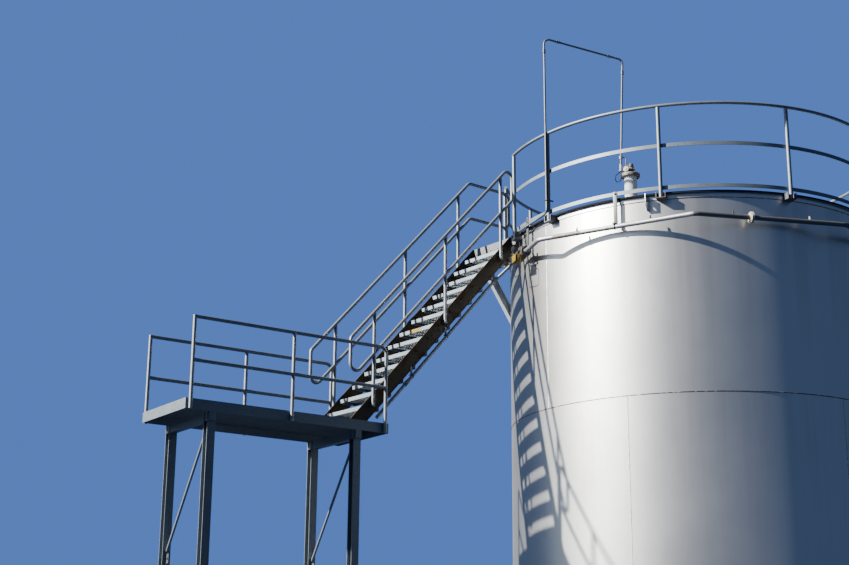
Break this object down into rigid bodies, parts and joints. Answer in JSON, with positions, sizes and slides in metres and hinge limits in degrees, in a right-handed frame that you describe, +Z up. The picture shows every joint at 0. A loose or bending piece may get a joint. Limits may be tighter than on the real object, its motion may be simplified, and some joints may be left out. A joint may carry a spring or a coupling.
{
  "type": "vertical storage tank",
  "caption": "Vertical steel storage tank with a cone roof, a guard rail, a cooling ring, a level gauge and a stair from a raised walkway.",
  "frame": {"origin": "on the tank's axis, at the underside of its bottom plate", "axes": "+Z up; +X to the right and +Y away when the tank is seen from the side of its stair, which runs down towards -X and -Y"},
  "size_m": [9.7299, 6.2643, 9.9832],
  "materials": {
    "shell_paint": "silver-grey paint, satin, with faint rain streaks",
    "galvanised": "weathered hot-dip galvanised steel, dull",
    "rusty_steel": "dark steel with brown rust",
    "dark_housing": "dark painted casting, satin",
    "mustard_paint": "mustard-yellow paint, satin",
    "black_cable": "black cable jacket, matt"
  },
  "bodies": {
    "root": {"bottom_plate": "shell_paint", "cone_roof": "shell_paint", "cooling_ring_back": "galvanised", "cooling_ring_front": "galvanised", "curb_ring": "shell_paint", "gauge_cable": "black_cable", "gauge_conduit": "galvanised", "gauge_head": "dark_housing", "gauge_nozzle": "shell_paint", "handrail_far": "galvanised", "handrail_near": "galvanised", "landing_strut": "shell_paint", "mid_rail": "galvanised", "outlet_nozzle": "shell_paint", "rail_post_01": "galvanised", "rail_post_02": "galvanised", "rail_post_03": "galvanised", "rail_post_04": "galvanised", "rail_post_05": "galvanised", "rail_post_06": "galvanised", "rail_post_07": "galvanised", "rail_post_08": "galvanised", "rail_post_09": "galvanised", "rail_post_10": "galvanised", "rail_post_11": "galvanised", "ring_supply_pipe": "galvanised", "ring_valve": "galvanised", "shell_course_1_plate_1": "shell_paint", "shell_course_1_plate_2": "shell_paint", "shell_course_2_plate_1": "shell_paint", "shell_course_2_plate_2": "shell_paint", "shell_course_2_plate_3": "shell_paint", "shell_course_3_plate_1": "shell_paint", "shell_course_3_plate_2": "shell_paint", "shell_manway": "shell_paint", "stair_stringer_far": "rusty_steel", "stair_stringer_near": "rusty_steel", "stair_tread_01": "galvanised", "stair_tread_02": "galvanised", "stair_tread_03": "galvanised", "stair_tread_04": "galvanised", "stair_tread_05": "galvanised", "stair_tread_06": "galvanised", "stair_tread_07": "galvanised", "stair_tread_08": "galvanised", "stair_tread_09": "galvanised", "stair_tread_10": "galvanised", "stair_tread_11": "galvanised", "stair_tread_12": "galvanised", "stair_tread_13": "galvanised", "toe_bar": "galvanised", "top_rail": "galvanised", "upper_landing": "galvanised", "valve_actuator": "mustard_paint", "valve_cable": "black_cable", "walkway_deck": "galvanised", "walkway_rail_far": "galvanised", "walkway_rail_near": "galvanised", "walkway_trestle_1": "galvanised", "walkway_trestle_2": "galvanised"}
  },
  "joints": []
}
